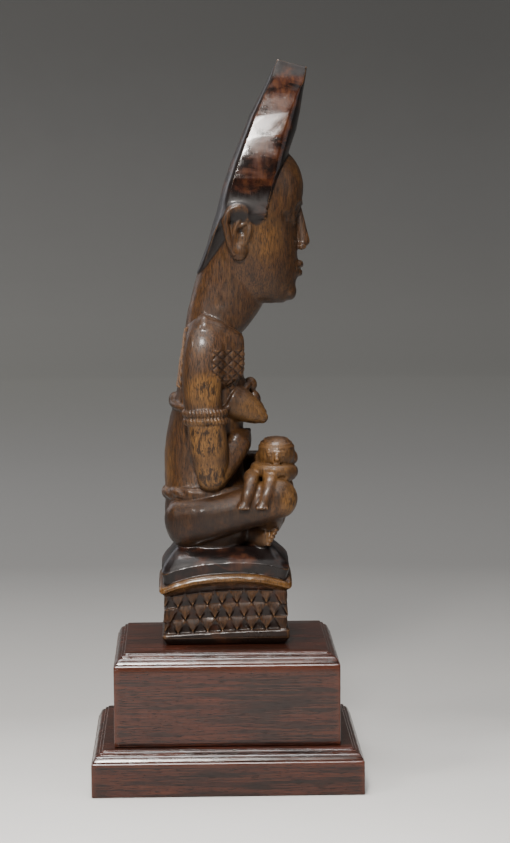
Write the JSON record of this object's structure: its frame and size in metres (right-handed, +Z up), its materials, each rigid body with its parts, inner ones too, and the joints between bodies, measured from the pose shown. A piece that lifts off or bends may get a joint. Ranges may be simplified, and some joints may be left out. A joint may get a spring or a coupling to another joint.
{
  "type": "mother and child carving",
  "caption": "Seated mother with a child across her lap, carved with her patterned seat from one block and standing on a moulded two-step plinth.",
  "frame": {"origin": "middle of the underside of the plinth's lower block", "axes": "+Z up, -Y the way the mother faces, +X towards her left"},
  "size_m": [0.121, 0.126, 0.3389],
  "materials": {
    "carved_wood": "dark brown hardwood with a glossy worn patina",
    "plinth_wood": "dark red-brown mahogany with a satin polish"
  },
  "bodies": {
    "root": {"mother_and_child": "carved_wood", "plinth_upper_block": "plinth_wood", "plinth_lower_block": "plinth_wood"}
  },
  "joints": []
}
